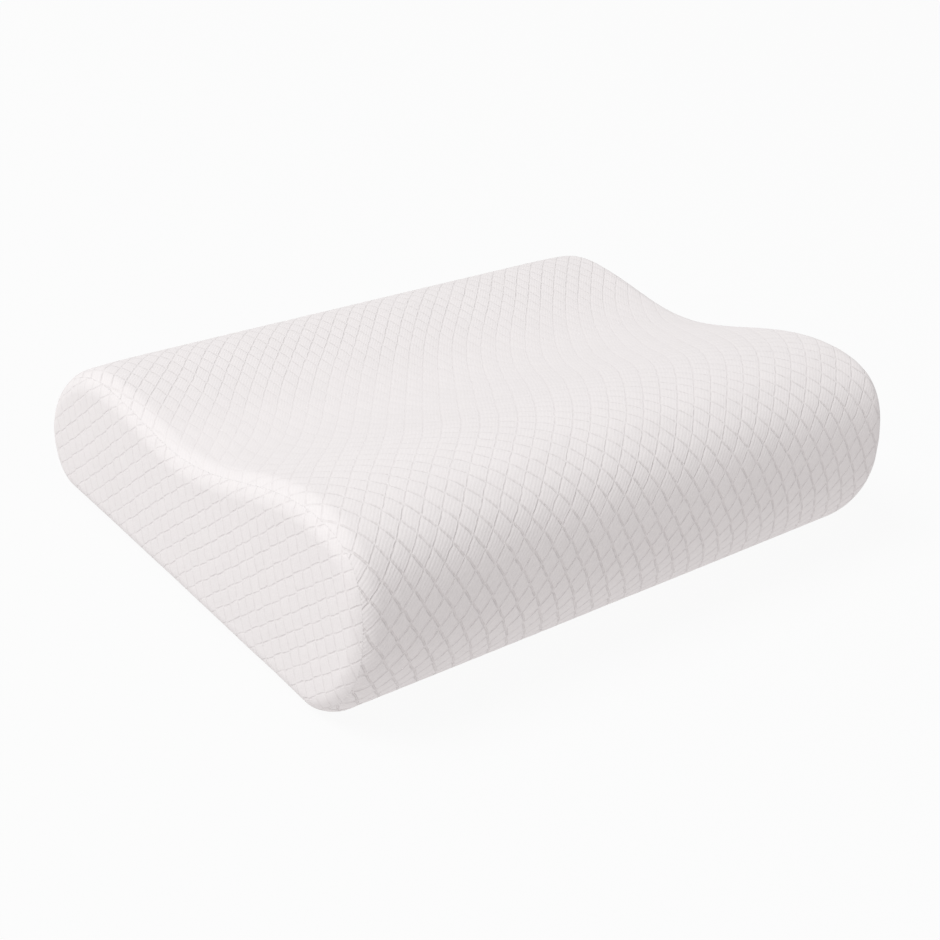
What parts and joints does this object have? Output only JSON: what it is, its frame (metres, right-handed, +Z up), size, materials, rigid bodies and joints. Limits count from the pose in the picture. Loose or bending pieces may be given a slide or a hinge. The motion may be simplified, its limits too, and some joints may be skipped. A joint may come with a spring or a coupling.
{
  "type": "contour bed pillow",
  "caption": "Contour pillow with a high and a low lobe and a shallow valley: moulded foam core in a knit liner, inside a white diamond-knit cover with a zip across the back.",
  "frame": {"origin": "under the middle of the pillow, on the plane it rests on", "axes": "+X along the length towards the end with the care label, +Y towards the low lobe and the zip, +Z up"},
  "size_m": [0.4, 0.343, 0.123],
  "materials": {
    "cover_knit": "white jacquard knit with knitted-in diamonds about 9.5 mm from side to side",
    "liner_knit": "thin plain jersey knit",
    "foam": "slow-recovery moulded polyurethane foam with a fine open skin",
    "zip_tape": "white woven polyester tape",
    "zip_nylon": "white nylon coil",
    "zip_metal": "plated zinc, lightly worn",
    "label": "blank satin label tape"
  },
  "bodies": {
    "pillow": {"foam_core": "foam", "liner_wrap": "liner_knit", "liner_end_left": "liner_knit", "liner_end_right": "liner_knit", "cover_top": "cover_knit", "cover_bottom": "cover_knit", "cover_end_left": "cover_knit", "cover_end_right": "cover_knit", "seam_end_left": "cover_knit", "seam_end_right": "cover_knit", "seam_front": "cover_knit", "zip_tape_upper": "zip_tape", "zip_tape_lower": "zip_tape", "zip_coil_upper": "zip_nylon", "zip_coil_lower": "zip_nylon", "zip_stop_top_upper": "zip_metal", "zip_stop_top_lower": "zip_metal", "zip_stop_bottom": "zip_metal", "care_label": "label"},
    "slider": {"zip_slider": "zip_metal"},
    "pull": {"zip_pull": "zip_metal"}
  },
  "joints": [
    {"name": "zip_slide", "type": "slide", "parent": "pillow", "child": "slider", "axis": [1, 0, 0], "range_m": [-0.353, 0]},
    {"name": "pull_hinge", "type": "hinge", "parent": "slider", "child": "pull", "pos_m": [0.1765, 0.17101, 0.04337], "axis": [0, 0.2205, -0.9754], "range_deg": [0, 180]}
  ]
}
